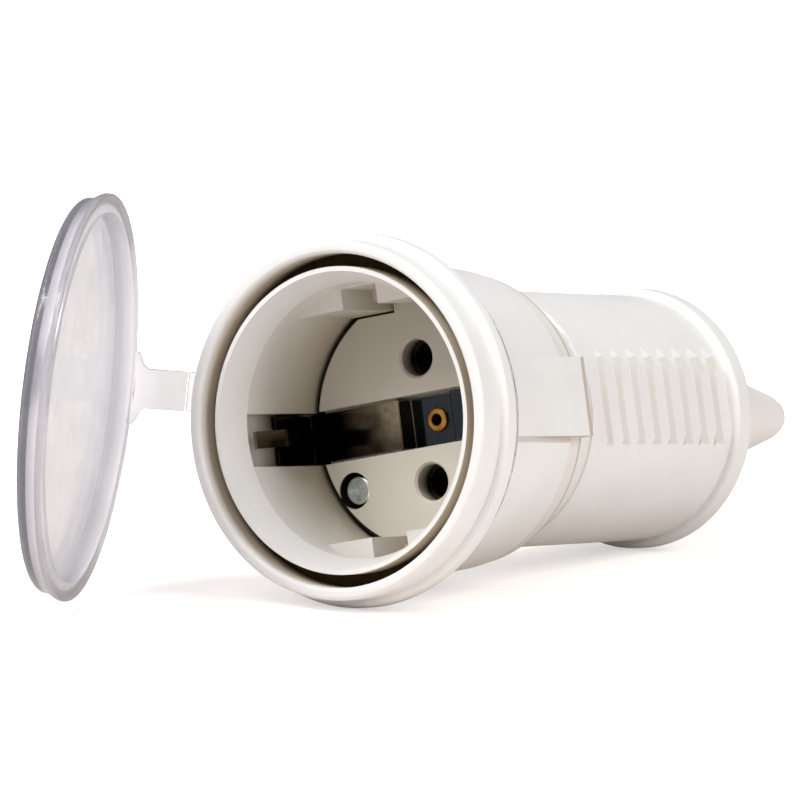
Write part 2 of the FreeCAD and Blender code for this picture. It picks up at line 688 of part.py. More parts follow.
# Finger flats on both sides with straight ribs; flanks and ends of the ribs slope
flat_across = grip_rear_radius - side_flat
raise_from(rear_grip, "side_flats", "XY_Plane", -flat_across, flat_across, both_sides(
    box_loop(flat_across, bead_radius, sleeve_front + side_flat_start, bead_front)), cut=True)
rib_crest = flat_across + rib_rise
rib_half = rib_height / 2
rib_root = grip_bore / 2
rib_sketch = draw(rear_grip, "rib_outline", "XZ_Plane", [[
    (rib_root, -rib_half), (rib_crest - rib_end, -rib_half), (rib_crest, -rib_half + rib_end),
    (rib_crest, rib_half - rib_end), (rib_crest - rib_end, rib_half), (rib_root, rib_half),
]], offset=-(sleeve_front + rib_start))
first_rib = rear_grip.newObject("PartDesign::Pad", "first_rib")
first_rib.Profile = rib_sketch
first_rib.SideType = "Symmetric"
first_rib.setExpression("Length", rib_width.text)
first_rib.setExpression("TaperAngle", (-rib_slope).text)
doc.recompute()
RIBS_A_SIDE = 8
ribs = rear_grip.newObject("PartDesign::MultiTransform", "ribs")
rib_row = doc.addObject("PartDesign::LinearPattern", "rib_row")
rib_row.Direction = (rib_sketch, ["N_Axis"])
rib_row.Reversed = True
rib_row.setExpression("Length", (rib_pitch * (RIBS_A_SIDE - 1)).text)
rib_row.Occurrences = RIBS_A_SIDE
rib_sides = doc.addObject("PartDesign::PolarPattern", "rib_sides")
rib_sides.Axis = (rib_sketch, ["N_Axis"])
rib_sides.Angle = 360
rib_sides.Occurrences = 2
ribs.Originals = [first_rib]
ribs.Transformations = [rib_row, rib_sides]
rear_grip.Tip = ribs
doc.recompute()

# The hollow narrows to the gland hole; bosses for the face screws are tied to the wall by webs
turn(rear_grip, "hollow", [
    (zero_station, grip_front), (grip_bore, grip_front), (grip_rear_bore, bead_front),
    (inner_flange_radius + neck_gap, gland_inside), (gland_hole_radius, gland_inside),
    (gland_hole_radius, grip_back), (zero_station, grip_back),
], cut=True)
wall_middle = grip_bore + grip_wall / 2
web_end = root_of(wall_middle * wall_middle - screw_up * screw_up)
web_start = screw_side - boss_radius * 0.8
web_half = boss_web / 2
raise_from(rear_grip, "boss_webs", "XZ_Plane", grip_front, carrier_back + boss_length, [
    box_loop(web_start, web_end, screw_up - web_half, screw_up + web_half),
    box_loop(-web_end, -web_start, -screw_up - web_half, -screw_up + web_half)])
raise_from(rear_grip, "bosses", "XZ_Plane", carrier_back + shell_gap, carrier_back + boss_length,
           circles=[(x, z, boss_radius) for x, z in screw_places])
raise_from(rear_grip, "boss_holes", "XZ_Plane", carrier_back, carrier_back + boss_length,
           circles=[(x, z, screw_radius + screw_hole_gap) for x, z in screw_places], cut=True)
raise_from(rear_grip, "insert_seats", "XZ_Plane", insert_front, insert_back,
           circles=[(x, z, insert_radius) for x, z in screw_places], cut=True)

# Cord grip: saddle over the carrier's rest, drawn down by two screws into square nuts
cord_clamp_saddle = new_body("cord_clamp_saddle")
saddle_foot = -saddle_split + saddle_gap
saddle_top = cord_radius + saddle_cover
raise_from(cord_clamp_saddle, "bar", "XY_Plane", -saddle_width / 2, saddle_width / 2, [
    box_loop(saddle_foot, saddle_top, rest_front, arm_back)])
raise_from(cord_clamp_saddle, "cord_trough", "XZ_Plane", rest_front, arm_back,
           circles=[(zero_station, zero_station, cord_radius)], cut=True)
raise_from(cord_clamp_saddle, "screw_holes", "YZ_Plane", saddle_foot, saddle_top,
           circles=[(y, z, clamp_screw_radius + screw_hole_gap) for y, z in clamp_places], cut=True)

cord_clamp_screws = new_body("cord_clamp_screws")
clamp_head_top = saddle_top + clamp_head_height
raise_from(cord_clamp_screws, "heads", "YZ_Plane", saddle_top, clamp_head_top,
           circles=[(y, z, clamp_head_radius) for y, z in clamp_places])
raise_from(cord_clamp_screws, "shanks", "YZ_Plane", saddle_top - clamp_screw_length, saddle_top,
           circles=[(y, z, clamp_screw_radius) for y, z in clamp_places])
raise_from(cord_clamp_screws, "crosses", "YZ_Plane", clamp_head_top - drive_slot_depth, clamp_head_top, [
    cross_loop(y, z, cross_length, cross_width) for y, z in clamp_places], cut=True)

cord_clamp_nuts = new_body("cord_clamp_nuts")
raise_from(cord_clamp_nuts, "nuts", "YZ_Plane", nut_seat - nut_height, nut_seat, [
    box_loop(y - nut_half, y + nut_half, z - nut_half, z + nut_half) for y, z in clamp_places])
raise_from(cord_clamp_nuts, "threads", "YZ_Plane", nut_seat - nut_height, nut_seat,
           circles=[(y, z, clamp_screw_radius + thread_gap) for y, z in clamp_places], cut=True)

# Cord grommet: inner flange, neck in the gland hole, collar outside and a long taper
cord_grommet = new_body("cord_grommet")
neck_radius = gland_hole_radius - neck_gap
collar_front = grip_back + collar_gap
collar_back = collar_front + collar_width
taper_back = collar_back + taper_length
tip_back = taper_back + tip_length
turn(cord_grommet, "sleeve", [
    (tip_bore_radius, tip_back),
    (tip_bore_radius, tip_back - tip_bore_length),
    (cord_radius, collar_front),
    (cord_radius, gland_inside - collar_gap - inner_flange_width),
    (inner_flange_radius, gland_inside - collar_gap - inner_flange_width),
    (inner_flange_radius, gland_inside - collar_gap),
    (neck_radius, gland_inside - collar_gap),
    (neck_radius, collar_front),
    (collar_radius, collar_front),
    (collar_radius, collar_back),
    (taper_end_radius, taper_back),
    (tip_radius, tip_back),
])

# Tether ring: snapped into the seat behind the flange, with the strap's root on one side
tether_ring = new_body("tether_ring")
ring_front = flange_back + ring_clearance
ring_back = ring_front + ring_width
ring_inside = seat_radius + ring_gap
ring_outside = ring_inside + ring_wall
turn(tether_ring, "ring", [
    (ring_inside, ring_front), (ring_outside, ring_front),
    (ring_outside, ring_back), (ring_inside, ring_back),
])
cap_bore = lip_radius + cap_clearance
cap_side = cap_bore + cap_wall
rim_radius = cap_side + rim_rise
hinge_across = rim_radius + hinge_offset
hinge_station = ring_back - stub_thickness / 2 + hinge_setback
half_tip = strap_tip_thickness / 2
raise_from(tether_ring, "stub", "XY_Plane", -strap_width / 2, strap_width / 2, [[
    (-ring_outside + ring_wall / 2, ring_back - stub_thickness),
    (-ring_outside + ring_wall / 2, ring_back),
    (-ring_outside, ring_back),
    (-hinge_across, hinge_station + half_tip),
    (-hinge_across, hinge_station - half_tip),
    (-ring_outside, ring_back - stub_thickness),
]])
raise_from(tether_ring, "knuckle", "XY_Plane", -strap_width / 2, strap_width / 2,
           circles=[(-hinge_across, hinge_station, hinge_radius)])

# Sealing cap, drawn closed on the lip: plate, skirt, rim and the strap from its rim to the hinge
sealing_cap = new_body("sealing_cap")
cap_inside = -cap_lift
cap_outside = cap_inside - cap_plate
rim_back = lip_length - rim_gap
rim_front = rim_back - rim_width
turn(sealing_cap, "cap", [
    (zero_station, cap_outside),
    (cap_side, cap_outside),
    (cap_side, rim_front - rim_slope),
    (rim_radius, rim_front),
    (rim_radius, rim_back),
    (cap_bore, rim_back),
    (cap_bore, cap_inside),
    (zero_station, cap_inside),
])
soften(sealing_cap, "cap_edge", [(cap_side, cap_outside)], cap_round)
soften(sealing_cap, "rim_edges", [(rim_radius, rim_front), (rim_radius, rim_back)], rim_round)

# The strap runs straight from inside the rim to just short of the hinge, thin at its root
foot_across = cap_bore + cap_wall * 0.9
foot_station = rim_back - rim_width / 2
reach_x = hinge_across - foot_across
reach_y = foot_station - hinge_station
reach = root_of(reach_x * reach_x + reach_y * reach_y)
way_x = reach_x / reach
way_y = reach_y / reach


def strap_point(along, aside):
    """A point so far along the strap from the hinge, and so far to the side of its middle."""
    return (-hinge_across + way_x * along - way_y * aside, hinge_station + way_y * along + way_x * aside)


root_start = hinge_radius + hinge_gap
root_end = root_start + strap_tip_length
half_strap = strap_thickness / 2
raise_from(sealing_cap, "strap", "XY_Plane", -strap_foot_width / 2, strap_foot_width / 2, [[
    strap_point(root_start, half_tip), strap_point(root_end, half_strap), strap_point(reach, half_strap),
    strap_point(reach, -half_strap), strap_point(root_end, -half_strap), strap_point(root_start, -half_tip),
]])
foot_edge = rim_back + rim_gap / 6
waist_side = -hinge_across - strap_thickness
raise_from(sealing_cap, "strap_waist", "YZ_Plane", waist_side, -cap_bore, above_and_below([
    (foot_edge, strap_foot_width),
    (foot_edge, strap_foot_width / 2),
    (foot_edge + strap_foot_length / 2, strap_width * 0.6),
    (foot_edge + strap_foot_length, strap_width / 2),
    (hinge_station + strap_foot_width, strap_width / 2),
    (hinge_station + strap_foot_width, strap_foot_width),
]), cut=True)

# The loose connector lies on the flange's rear edge and the bead's rear edge, tilted down behind
shoulder_turn = math.atan2(dome_shoulder.value, (shoulder_back - bead_back).value)
flange_edge = (flange_back - flange_round).value
bead_edge = bead_back.value - bead_round.value * math.tan(shoulder_turn / 2)
span = bead_edge - flange_edge
drop = (bead_radius - bead_round - flange_radius + flange_round).value
round_step = (flange_round - bead_round).value
tilt = math.asin(round_step / math.hypot(span, drop)) - math.atan2(drop, span)
lean = Rotation(Vector(1, 0, 0), -math.degrees(tilt))


def rolled(angle):
    """The row frame's origin is the mouth's centre; the axis leans down to the back."""
    return Placement(Vector(0, 0, 0), lean.multiply(Rotation(Vector(0, 1, 0), -angle)))


def settle(body, placement):
    body.Placement = placement


connector_place = rolled(connector_roll.value)
tether_place = rolled(tether_roll.value)
hinge_point = Vector(-hinge_across.value, hinge_station.value, 0)
opened = Placement(Vector(0, 0, 0), Rotation(Vector(0, 0, 1), -cap_opening.value), hinge_point)

connector_bodies = [
    front_housing, contact_carrier, earth_bracket, earth_rivet, earth_terminal,
    doc.getObject("line_contact"), doc.getObject("neutral_contact"), terminal_screws,
    insert_screws, screw_inserts, rear_grip, cord_clamp_saddle, cord_clamp_screws,
    cord_clamp_nuts, cord_grommet,
]
for body in connector_bodies:
    settle(body, connector_place)
settle(tether_ring, tether_place)
settle(sealing_cap, tether_place.multiply(opened))
doc.recompute()

for item in doc.Objects:
    if "Invalid" in item.State or "Error" in item.State:
        raise ValueError(f"{item.Label} did not build: {item.State}")
for body in connector_bodies + [tether_ring, sealing_cap]:
    if body.Shape.isNull() or not body.Shape.isValid():
        raise ValueError(f"{body.Label} has no valid shape")
    body.Shape.exportStep(f"parts/{body.Label}.step")
    print(body.Label, len(body.Shape.Solids), round(body.Shape.Volume, 1))
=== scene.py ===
import json
import math

import bpy
from mathutils import Matrix, Vector


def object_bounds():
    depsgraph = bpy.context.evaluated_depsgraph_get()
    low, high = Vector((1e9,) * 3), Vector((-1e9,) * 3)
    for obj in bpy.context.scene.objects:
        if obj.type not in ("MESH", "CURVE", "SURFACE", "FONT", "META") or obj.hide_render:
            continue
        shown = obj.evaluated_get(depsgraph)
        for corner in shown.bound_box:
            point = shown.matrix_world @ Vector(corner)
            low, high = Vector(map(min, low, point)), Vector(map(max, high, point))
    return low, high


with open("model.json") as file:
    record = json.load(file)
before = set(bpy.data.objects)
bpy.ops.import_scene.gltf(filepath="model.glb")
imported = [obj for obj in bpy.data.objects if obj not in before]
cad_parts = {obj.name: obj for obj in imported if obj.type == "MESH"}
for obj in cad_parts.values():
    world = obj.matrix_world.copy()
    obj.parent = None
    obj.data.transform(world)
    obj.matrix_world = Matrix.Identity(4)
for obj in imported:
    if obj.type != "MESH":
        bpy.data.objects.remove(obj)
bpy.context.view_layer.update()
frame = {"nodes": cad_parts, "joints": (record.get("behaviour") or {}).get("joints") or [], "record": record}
node = frame["nodes"]

# Front housing: the socket head, one injection moulding of warm white thermoplastic with
# a satin spark-eroded skin. Its well, moat and keys are the same shot, with painted shade
# that darkens and warms them inside; the carrier, the tether ring and the grip are fitted to it.
MOUTH_AXIS = -Vector(frame["record"]["mounts"][0]["axis"])
PIN_PLACES = [Vector(mount["pos_m"]) for mount in frame["record"]["mounts"][1:3]]
PIN_LINE = (PIN_PLACES[0] - PIN_PLACES[1]).normalized()
STRIP_LINE = MOUTH_AXIS.cross(PIN_LINE)


def new_finish(name):
    """A material with its shader, ready for the textures of one piece."""
    finish = bpy.data.materials.new(name)
    finish.use_nodes = True
    return finish, finish.node_tree, finish.node_tree.nodes["Principled BSDF"]


def new_group(name, inputs, outputs):
    """A shader group with named sockets."""
    group = bpy.data.node_groups.new(name, "ShaderNodeTree")
    for label, kind, value in inputs:
        socket = group.interface.new_socket(name=label, in_out="INPUT", socket_type=kind)
        socket.default_value = value
    for label, kind in outputs:
        group.interface.new_socket(name=label, in_out="OUTPUT", socket_type=kind)
    return group, group.nodes.new("NodeGroupInput"), group.nodes.new("NodeGroupOutput")


def add_node(tree, kind, **settings):
    made = tree.nodes.new(kind)
    for key, value in settings.items():
        setattr(made, key, value)
    return made


def noise(tree, where, scale, detail, rough=0.55):
    """Cloudy noise; the scale is a number or a socket."""
    made = add_node(tree, "ShaderNodeTexNoise")
    made.inputs["Detail"].default_value = detail
    made.inputs["Roughness"].default_value = rough
    tree.links.new(where, made.inputs["Vector"])
    if isinstance(scale, bpy.types.NodeSocket):
        tree.links.new(scale, made.inputs["Scale"])
    else:
        made.inputs["Scale"].default_value = scale
    return made.outputs["Fac"]


def spread(tree, value, low, high, to_low=0.0, to_high=1.0):
    """Map a range of a value to another range; each end of the second is a number or a socket."""
    made = add_node(tree, "ShaderNodeMapRange")
    tree.links.new(value, made.inputs["Value"])
    made.inputs["From Min"].default_value = low
    made.inputs["From Max"].default_value = high
    for label, end in (("To Min", to_low), ("To Max", to_high)):
        if isinstance(end, bpy.types.NodeSocket):
            tree.links.new(end, made.inputs[label])
        else:
            made.inputs[label].default_value = end
    return made.outputs["Result"]


def blend_colours(tree, share, first, second):
    """Mix two colours; each is a plain colour or a socket."""
    made = add_node(tree, "ShaderNodeMix", data_type="RGBA")
    for source, socket in ((share, 0), (first, 6), (second, 7)):
        if isinstance(source, bpy.types.NodeSocket):
            tree.links.new(source, made.inputs[socket])
        else:
            made.inputs[socket].default_value = source
    return made.outputs[2]


def bump(tree, shader, height, strength, distance):
    made = add_node(tree, "ShaderNodeBump")
    made.inputs["Strength"].default_value = strength
    made.inputs["Distance"].default_value = distance
    tree.links.new(height, made.inputs["Height"])
    tree.links.new(made.outputs["Normal"], shader.inputs["Normal"])


# The moulded skin of every plastic piece: slow clouding of the tone and a fine eroded
# grain, with the polish changing a little where hands and tools have rubbed.
CLOUD_SCALE = 95.0
RUB_SCALE = 210.0
SKIN_OUTPUTS = [("Color", "NodeSocketColor"), ("Roughness", "NodeSocketFloat"),
                ("Height", "NodeSocketFloat")]
moulded, taken, given = new_group(
    "moulded_skin",
    [("Tone", "NodeSocketColor", (0.8, 0.8, 0.8, 1)), ("Shade", "NodeSocketColor", (0.7, 0.7, 0.7, 1)),
     ("Grain Scale", "NodeSocketFloat", 5200.0), ("Polish Low", "NodeSocketFloat", 0.38),
     ("Polish High", "NodeSocketFloat", 0.5)],
    SKIN_OUTPUTS)
place = add_node(moulded, "ShaderNodeTexCoord").outputs["Object"]
clouds = spread(moulded, noise(moulded, place, CLOUD_SCALE, 4.0), 0.32, 0.72)
cloudy = blend_colours(moulded, clouds, taken.outputs["Tone"], taken.outputs["Shade"])
moulded.links.new(cloudy, given.inputs["Color"])
rubbed = spread(moulded, noise(moulded, place, RUB_SCALE, 5.0, 0.65), 0.3, 0.7,
                taken.outputs["Polish Low"], taken.outputs["Polish High"])
moulded.links.new(rubbed, given.inputs["Roughness"])
moulded.links.new(noise(moulded, place, taken.outputs["Grain Scale"], 2.0), given.inputs["Height"])


def place_group(tree, group, **values):
    made = add_node(tree, "ShaderNodeGroup", node_tree=group)
    for label, value in values.items():
        made.inputs[label.replace("_", " ")].default_value = value
    return made


def moulded_finish(name, tone, shade, grain=5200.0, low=0.38, high=0.5, ior=1.5):
    """A moulded plastic: tone, clouding, polish and grain from the shared skin."""
    finish, tree, shader = new_finish(name)
    skin = place_group(tree, moulded, Tone=tone, Shade=shade, Grain_Scale=grain,
                       Polish_Low=low, Polish_High=high)
    tree.links.new(skin.outputs["Color"], shader.inputs["Base Color"])
    tree.links.new(skin.outputs["Roughness"], shader.inputs["Roughness"])
    bump(tree, shader, skin.outputs["Height"], strength=0.35, distance=0.00003)
    shader.inputs["IOR"].default_value = ior
    return finish, tree, shader, skin


def along_and_away(tree, axis, start=(0, 0, 0)):
    """How far a point lies along an axis and how far away from it."""
    place = add_node(tree, "ShaderNodeVectorMath", operation="SUBTRACT")
    tree.links.new(add_node(tree, "ShaderNodeTexCoord").outputs["Object"], place.inputs[0])
    place.inputs[1].default_value = start
    along = add_node(tree, "ShaderNodeVectorMath", operation="DOT_PRODUCT")
    tree.links.new(place.outputs["Vector"], along.inputs[0])
    along.inputs[1].default_value = axis
    foot = add_node(tree, "ShaderNodeVectorMath", operation="SCALE")
    foot.inputs[0].default_value = axis
    tree.links.new(along.outputs["Value"], foot.inputs["Scale"])
    away = add_node(tree, "ShaderNodeVectorMath", operation="DISTANCE")
    tree.links.new(place.outputs["Vector"], away.inputs[0])
    tree.links.new(foot.outputs["Vector"], away.inputs[1])
    return along.outputs["Value"], away.outputs["Value"]


def lean(tree, direction):
    """How much a face looks in a direction."""
    made = add_node(tree, "ShaderNodeVectorMath", operation="DOT_PRODUCT")
    tree.links.new(add_node(tree, "ShaderNodeTexCoord").outputs["Normal"], made.inputs[0])
    made.inputs[1].default_value = direction
    return made.outputs["Value"]


def combine(tree, operation, first, *others):
    """Carry out one sum on two or more values."""
    for other in others:
        made = add_node(tree, "ShaderNodeMath", operation=operation)
        tree.links.new(first, made.inputs[0])
        tree.links.new(other, made.inputs[1])
        first = made.outputs["Value"]
    return first


def either_side(tree, value):
    """A distance without its sign."""
    made = add_node(tree, "ShaderNodeMath", operation="ABSOLUTE")
    tree.links.new(value, made.inputs[0])
    return made.outputs["Value"]


EDGE_BLUR = 0.0001


def beyond(tree, value, edge):
    """One past an edge, nought before it."""
    return spread(tree, value, edge, edge + EDGE_BLUR)


def short_of(tree, value, edge):
    """One before an edge, nought past it."""
    return spread(tree, value, edge + EDGE_BLUR, edge)


SHELL_TONE = (0.832, 0.824, 0.812, 1)
SHELL_SHADE = (0.79, 0.78, 0.764, 1)
housing_finish, tree, shader, skin = moulded_finish("housing_plastic", SHELL_TONE, SHELL_SHADE)
depth, radius = along_and_away(tree, MOUTH_AXIS)
across, _ = along_and_away(tree, STRIP_LINE)
upward, _ = along_and_away(tree, PIN_LINE)

# Outside of the head: painted shade darkens the stepped end of the barrel and the joint
# with the grip, and a painted shadow lies on the barrel under each side pad.
BARREL_STEP = 0.0292
BARREL_END = 0.02235
END_SHADE_TONE = (0.75, 0.715, 0.675, 1)
end_shade_share = combine(tree, "MULTIPLY", beyond(tree, depth, BARREL_STEP), short_of(tree, radius, BARREL_END))
painted_end_colour = blend_colours(tree, end_shade_share, skin.outputs["Color"], END_SHADE_TONE)
# Painted shade along the joint with the grip.
JOINT_LINE = 0.0326
JOINT_SHADE_TONE = (0.52, 0.455, 0.39, 1)
joint_shade_colour = blend_colours(tree, beyond(tree, depth, JOINT_LINE), painted_end_colour, JOINT_SHADE_TONE)
# Painted shadow cast on the barrel under each side pad.
PAD_SIDE = 0.014
PAD_HALF = 0.006
PAD_LINE = (-PAD_HALF - 0.0009, -PAD_HALF - 0.0007)
FLANGE_BACK = 0.0125
BARREL_SKIN = 0.0226
PAD_SHADOW_TONE = (0.58, 0.54, 0.495, 1)
pad_shadow = combine(
    tree, "MULTIPLY", spread(tree, upward, *PAD_LINE), short_of(tree, upward, -PAD_HALF),
    beyond(tree, either_side(tree, across), PAD_SIDE), beyond(tree, radius, BARREL_SKIN),
    beyond(tree, depth, FLANGE_BACK))
outer_colour = blend_colours(tree, pad_shadow, joint_shade_colour, PAD_SHADOW_TONE)

# Inside of the head: painted shade darkens and warms the well with its depth and tints
# the moat olive; deeper painted shade, with the gloss turned down, blackens the bottom,
# the earth notches and the gap behind the face.
LIP_INSIDE = 0.0249
WELL_INSIDE = 0.02275
LIP_TO_WELL = (0.007, 0.012)
WELL_TAPER = (0.022, 0.033, 0.0, 0.0009)
WELL_FADE = (0.004, 0.022)
WELL_SHADE_TONE = (0.53, 0.475, 0.375, 1)
limit = combine(tree, "SUBTRACT", spread(tree, depth, *LIP_TO_WELL, LIP_INSIDE, WELL_INSIDE),
                spread(tree, depth, *WELL_TAPER))
in_well = spread(tree, combine(tree, "SUBTRACT", limit, radius), -EDGE_BLUR, EDGE_BLUR)
# Painted shade: the well darkens and warms with its depth.
well_shade_share = combine(tree, "MULTIPLY", in_well, spread(tree, depth, *WELL_FADE))
well_shade_colour = blend_colours(tree, well_shade_share, outer_colour, WELL_SHADE_TONE)
# Painted shade gives the moat its olive tone.
MOAT_WALL = (0.0228, 0.02285)
MOAT_FADE = (0.0005, 0.0022)
MOAT_SHADE_TONE = (0.70, 0.62, 0.50, 1)
in_moat = combine(tree, "MULTIPLY", spread(tree, radius, *MOAT_WALL), in_well)
moat_shade_share = combine(tree, "MULTIPLY", spread(tree, depth, *MOAT_FADE), in_moat)
moat_shade_colour = blend_colours(tree, moat_shade_share, well_shade_colour, MOAT_SHADE_TONE)
# Painted shade, with the gloss turned down, at the moat's bottom, in the notches and behind the face.
MOAT_BOTTOM = (0.0034, 0.0056)
NOTCH_FADE = (0.011, 0.017)
NOTCH_WALL = (0.0208, 0.0215)
BEHIND_FACE = (0.0237, 0.025)
DEEP_SHADE_TONE = (0.045, 0.029, 0.013, 1)
GLOSS, DEEP_GLOSS = 0.5, 0.05
deep_moat = combine(tree, "MULTIPLY", spread(tree, depth, *MOAT_BOTTOM), in_moat)
notch = combine(tree, "MULTIPLY", spread(tree, depth, *NOTCH_FADE), spread(tree, radius, *NOTCH_WALL))
deep = combine(tree, "MAXIMUM", deep_moat, notch, spread(tree, depth, *BEHIND_FACE))
deep_shade_share = combine(tree, "MULTIPLY", deep, in_well)
housing_colour = blend_colours(tree, deep_shade_share, moat_shade_colour, DEEP_SHADE_TONE)
tree.links.new(housing_colour, shader.inputs["Base Color"])
tree.links.new(spread(tree, deep_shade_share, 0.0, 1.0, GLOSS, DEEP_GLOSS), shader.inputs["Specular IOR Level"])
node["front_housing"].material_slots[0].material = housing_finish

# Contact carrier: the insert that closes the well, moulded in a greyer heat-proof resin
# with a matt face. The two face screws hold it; painted shade, with the gloss turned down,
# blackens its edge and its holes, and painted shade darkens the upper part of its face.
# The saddle of the cord clamp is moulded in the same resin.
CARRIER_TONE = (0.67, 0.63, 0.55, 1)
CARRIER_SHADE = (0.63, 0.585, 0.50, 1)
CARRIER_UPPER_SHADE = (0.53, 0.495, 0.425, 1)
CARRIER_SKIN = {"grain": 6500.0, "low": 0.48, "high": 0.6}
UPPER_SHADE_FADE = (-0.003, 0.014)
CARRIER_EDGE = 0.0194
GAP_SHADE_TONE = (0.012, 0.009, 0.006, 1)
FACE_DEPTH = 0.0235
PIN_REACH, PIN_FADE = 0.003, 0.003
SCREW_REACH, SCREW_FADE = 0.0029, 0.0004
SCREW_PLACE = STRIP_LINE * 0.0143 + PIN_LINE * 0.00875
carrier_finish, tree, shader, skin = moulded_finish(
    "carrier_resin", CARRIER_TONE, CARRIER_SHADE, **CARRIER_SKIN)
depth, radius = along_and_away(tree, MOUTH_AXIS)
upward, _ = along_and_away(tree, PIN_LINE)
# Painted shade blackens the carrier's edge and, in the loop below, its pin and screw holes.
shaded = spread(tree, radius, CARRIER_EDGE - EDGE_BLUR, CARRIER_EDGE + EDGE_BLUR)
for start, reach, fade in ((PIN_PLACES[0], PIN_REACH, PIN_FADE), (PIN_PLACES[1], PIN_REACH, PIN_FADE),
                           (SCREW_PLACE, SCREW_REACH, SCREW_FADE), (-SCREW_PLACE, SCREW_REACH, SCREW_FADE)):
    _, away = along_and_away(tree, MOUTH_AXIS, start)
    hole = combine(tree, "MULTIPLY", short_of(tree, away, reach),
                   spread(tree, depth, FACE_DEPTH, FACE_DEPTH + fade))
    shaded = combine(tree, "MAXIMUM", shaded, hole)
# Painted shade on the upper part of the face.
shaded_face_colour = blend_colours(tree, spread(tree, upward, *UPPER_SHADE_FADE), skin.outputs["Color"], CARRIER_UPPER_SHADE)
tree.links.new(blend_colours(tree, shaded, shaded_face_colour, GAP_SHADE_TONE), shader.inputs["Base Color"])
tree.links.new(spread(tree, shaded, 0.0, 1.0, GLOSS, DEEP_GLOSS), shader.inputs["Specular IOR Level"])
node["contact_carrier"].material_slots[0].material = carrier_finish
saddle_finish, *_ = moulded_finish("saddle_resin", CARRIER_TONE, CARRIER_SHADE, **CARRIER_SKIN)
node["cord_clamp_saddle"].material_slots[0].material = saddle_finish

# Earth strip: sprung strip steel, cut and bent, with a thin dark nickel plate that shows
# rolling streaks along the strip. It lies in the face slot under the eyelet; painted shade
# blackens its legs in the notches and its lower shelf, its upper shelf keeps a painted
# reflection, and a painted dark reflection covers its middle. The noses of its legs, rubbed
# by plugs and at the lit front of the notches, stay lighter.
STREAK_STRETCH = (0.12, 0.12, 1.0)
STAIN_SCALE = 420.0
plated, taken, given = new_group(
    "rolled_plate",
    [("Tone", "NodeSocketColor", (0.5, 0.5, 0.5, 1)), ("Tarnish", "NodeSocketColor", (0.3, 0.25, 0.2, 1)),
     ("Streak Scale", "NodeSocketFloat", 900.0), ("Polish Low", "NodeSocketFloat", 0.2),
     ("Polish High", "NodeSocketFloat", 0.4)],
    SKIN_OUTPUTS)
place = add_node(plated, "ShaderNodeTexCoord").outputs["Object"]
stretch = add_node(plated, "ShaderNodeMapping")
stretch.inputs["Scale"].default_value = STREAK_STRETCH
plated.links.new(place, stretch.inputs["Vector"])
streaks = noise(plated, stretch.outputs["Vector"], taken.outputs["Streak Scale"], 4.0, 0.7)
stain = spread(plated, noise(plated, place, STAIN_SCALE, 4.0), 0.4, 0.75)
stained = blend_colours(plated, stain, taken.outputs["Tone"], taken.outputs["Tarnish"])
plated.links.new(stained, given.inputs["Color"])
rubbed = spread(plated, streaks, 0.3, 0.7, taken.outputs["Polish Low"], taken.outputs["Polish High"])
plated.links.new(rubbed, given.inputs["Roughness"])
plated.links.new(streaks, given.inputs["Height"])


def metal_finish(name, tone, tarnish, streaks, low, high):
    """A bare or plated metal with streaks and a little tarnish."""
    finish, tree, shader = new_finish(name)
    skin = place_group(tree, plated, Tone=tone, Tarnish=tarnish, Streak_Scale=streaks,
                       Polish_Low=low, Polish_High=high)
    tree.links.new(skin.outputs["Color"], shader.inputs["Base Color"])
    tree.links.new(skin.outputs["Roughness"], shader.inputs["Roughness"])
    bump(tree, shader, skin.outputs["Height"], strength=0.25, distance=0.00002)
    shader.inputs["Metallic"].default_value = 1.0
    return finish, tree, shader, skin


STRIP_SHADE_TONE = (0.016, 0.012, 0.009, 1)
STRIP_DARK_REFLECTION = (0.034, 0.039, 0.043, 1)
STRIP_RUBBED_LIT_TONE = (0.24, 0.195, 0.135, 1)
SHELF_FADE = (0.017, 0.0065)
SHELF_RISE = (-0.003, 0.0015, 0.25, 1.0)
DARK_REFLECTION_MIDDLE = STRIP_LINE * 0.00155
DARK_REFLECTION_HALF = 0.00595
NOSE_DEPTH = 0.0138
strip_finish, tree, shader, skin = metal_finish(
    "strip_nickel", (0.30, 0.25, 0.175, 1), (0.17, 0.12, 0.065, 1), streaks=900.0, low=0.07, high=0.16)
across, _ = along_and_away(tree, STRIP_LINE)
upward, _ = along_and_away(tree, PIN_LINE)
depth, _ = along_and_away(tree, MOUTH_AXIS)
from_dark_reflection, _ = along_and_away(tree, STRIP_LINE, DARK_REFLECTION_MIDDLE)
# Painted shade blackens the legs in the notches and the lower shelf; the upper shelf keeps a painted
# reflection.
bright = combine(tree, "MULTIPLY", spread(tree, either_side(tree, across), *SHELF_FADE),
                 spread(tree, upward, *SHELF_RISE))
shelf_colour = blend_colours(tree, bright, STRIP_SHADE_TONE, skin.outputs["Color"])
# The noses of the legs, rubbed by plugs and at the lit front of the notches, stay lighter than the painted
# shade.
nose = spread(tree, depth, NOSE_DEPTH, NOSE_DEPTH - 0.0008)
nose_colour = blend_colours(tree, nose, shelf_colour, STRIP_RUBBED_LIT_TONE)
# A painted dark reflection covers the middle of the strip.
dark_reflection = spread(tree, either_side(tree, from_dark_reflection), DARK_REFLECTION_HALF + 0.0002, DARK_REFLECTION_HALF)
tree.links.new(blend_colours(tree, dark_reflection, nose_colour, STRIP_DARK_REFLECTION), shader.inputs["Base Color"])
node["earth_bracket"].material_slots[0].material = strip_finish

# Earth eyelet, earth terminal and screw inserts: turned brass, left bare and slightly
# toned. The eyelet clinches the strip; the inserts are pressed into the grip.
brass_finish, *_ = metal_finish(
    "bare_brass", (0.44, 0.215, 0.045, 1), (0.16, 0.065, 0.014, 1), streaks=1400.0, low=0.16, high=0.34)
for name in ("earth_rivet", "earth_terminal", "screw_inserts"):
    node[name].material_slots[0].material = brass_finish

